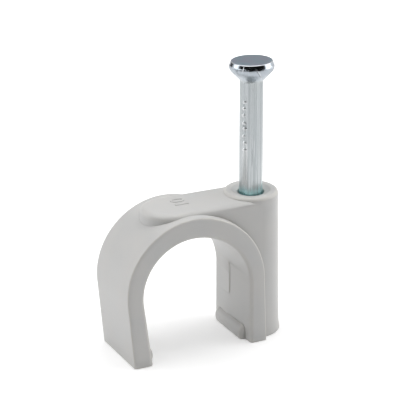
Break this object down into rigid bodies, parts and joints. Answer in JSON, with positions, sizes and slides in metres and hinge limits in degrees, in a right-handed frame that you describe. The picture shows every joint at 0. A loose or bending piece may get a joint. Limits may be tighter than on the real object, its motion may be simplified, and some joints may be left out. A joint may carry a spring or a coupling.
{
  "type": "nail in cable clip",
  "caption": "Moulded round cable clip whose arch holds a cable against a wall, with the headed steel nail standing in its column.",
  "frame": {"origin": "middle of the footprint, on the wall face that both feet stand on", "axes": "+Z away from the wall, up the nail; +X from the free leg to the nail; Y along the cable"},
  "size_m": [0.016, 0.0064, 0.0248],
  "materials": {
    "clip_body": "light grey moulded, satin",
    "nail": "bright zinc plated, drawn streaks"
  },
  "bodies": {
    "clip": {"clip_body": "clip_body"},
    "nail": {"nail": "nail"}
  },
  "joints": [
    {"name": "nail_drive", "type": "slide", "parent": "clip", "child": "nail", "axis": [0, 0, -1], "range_m": [0, 0.0102]}
  ]
}
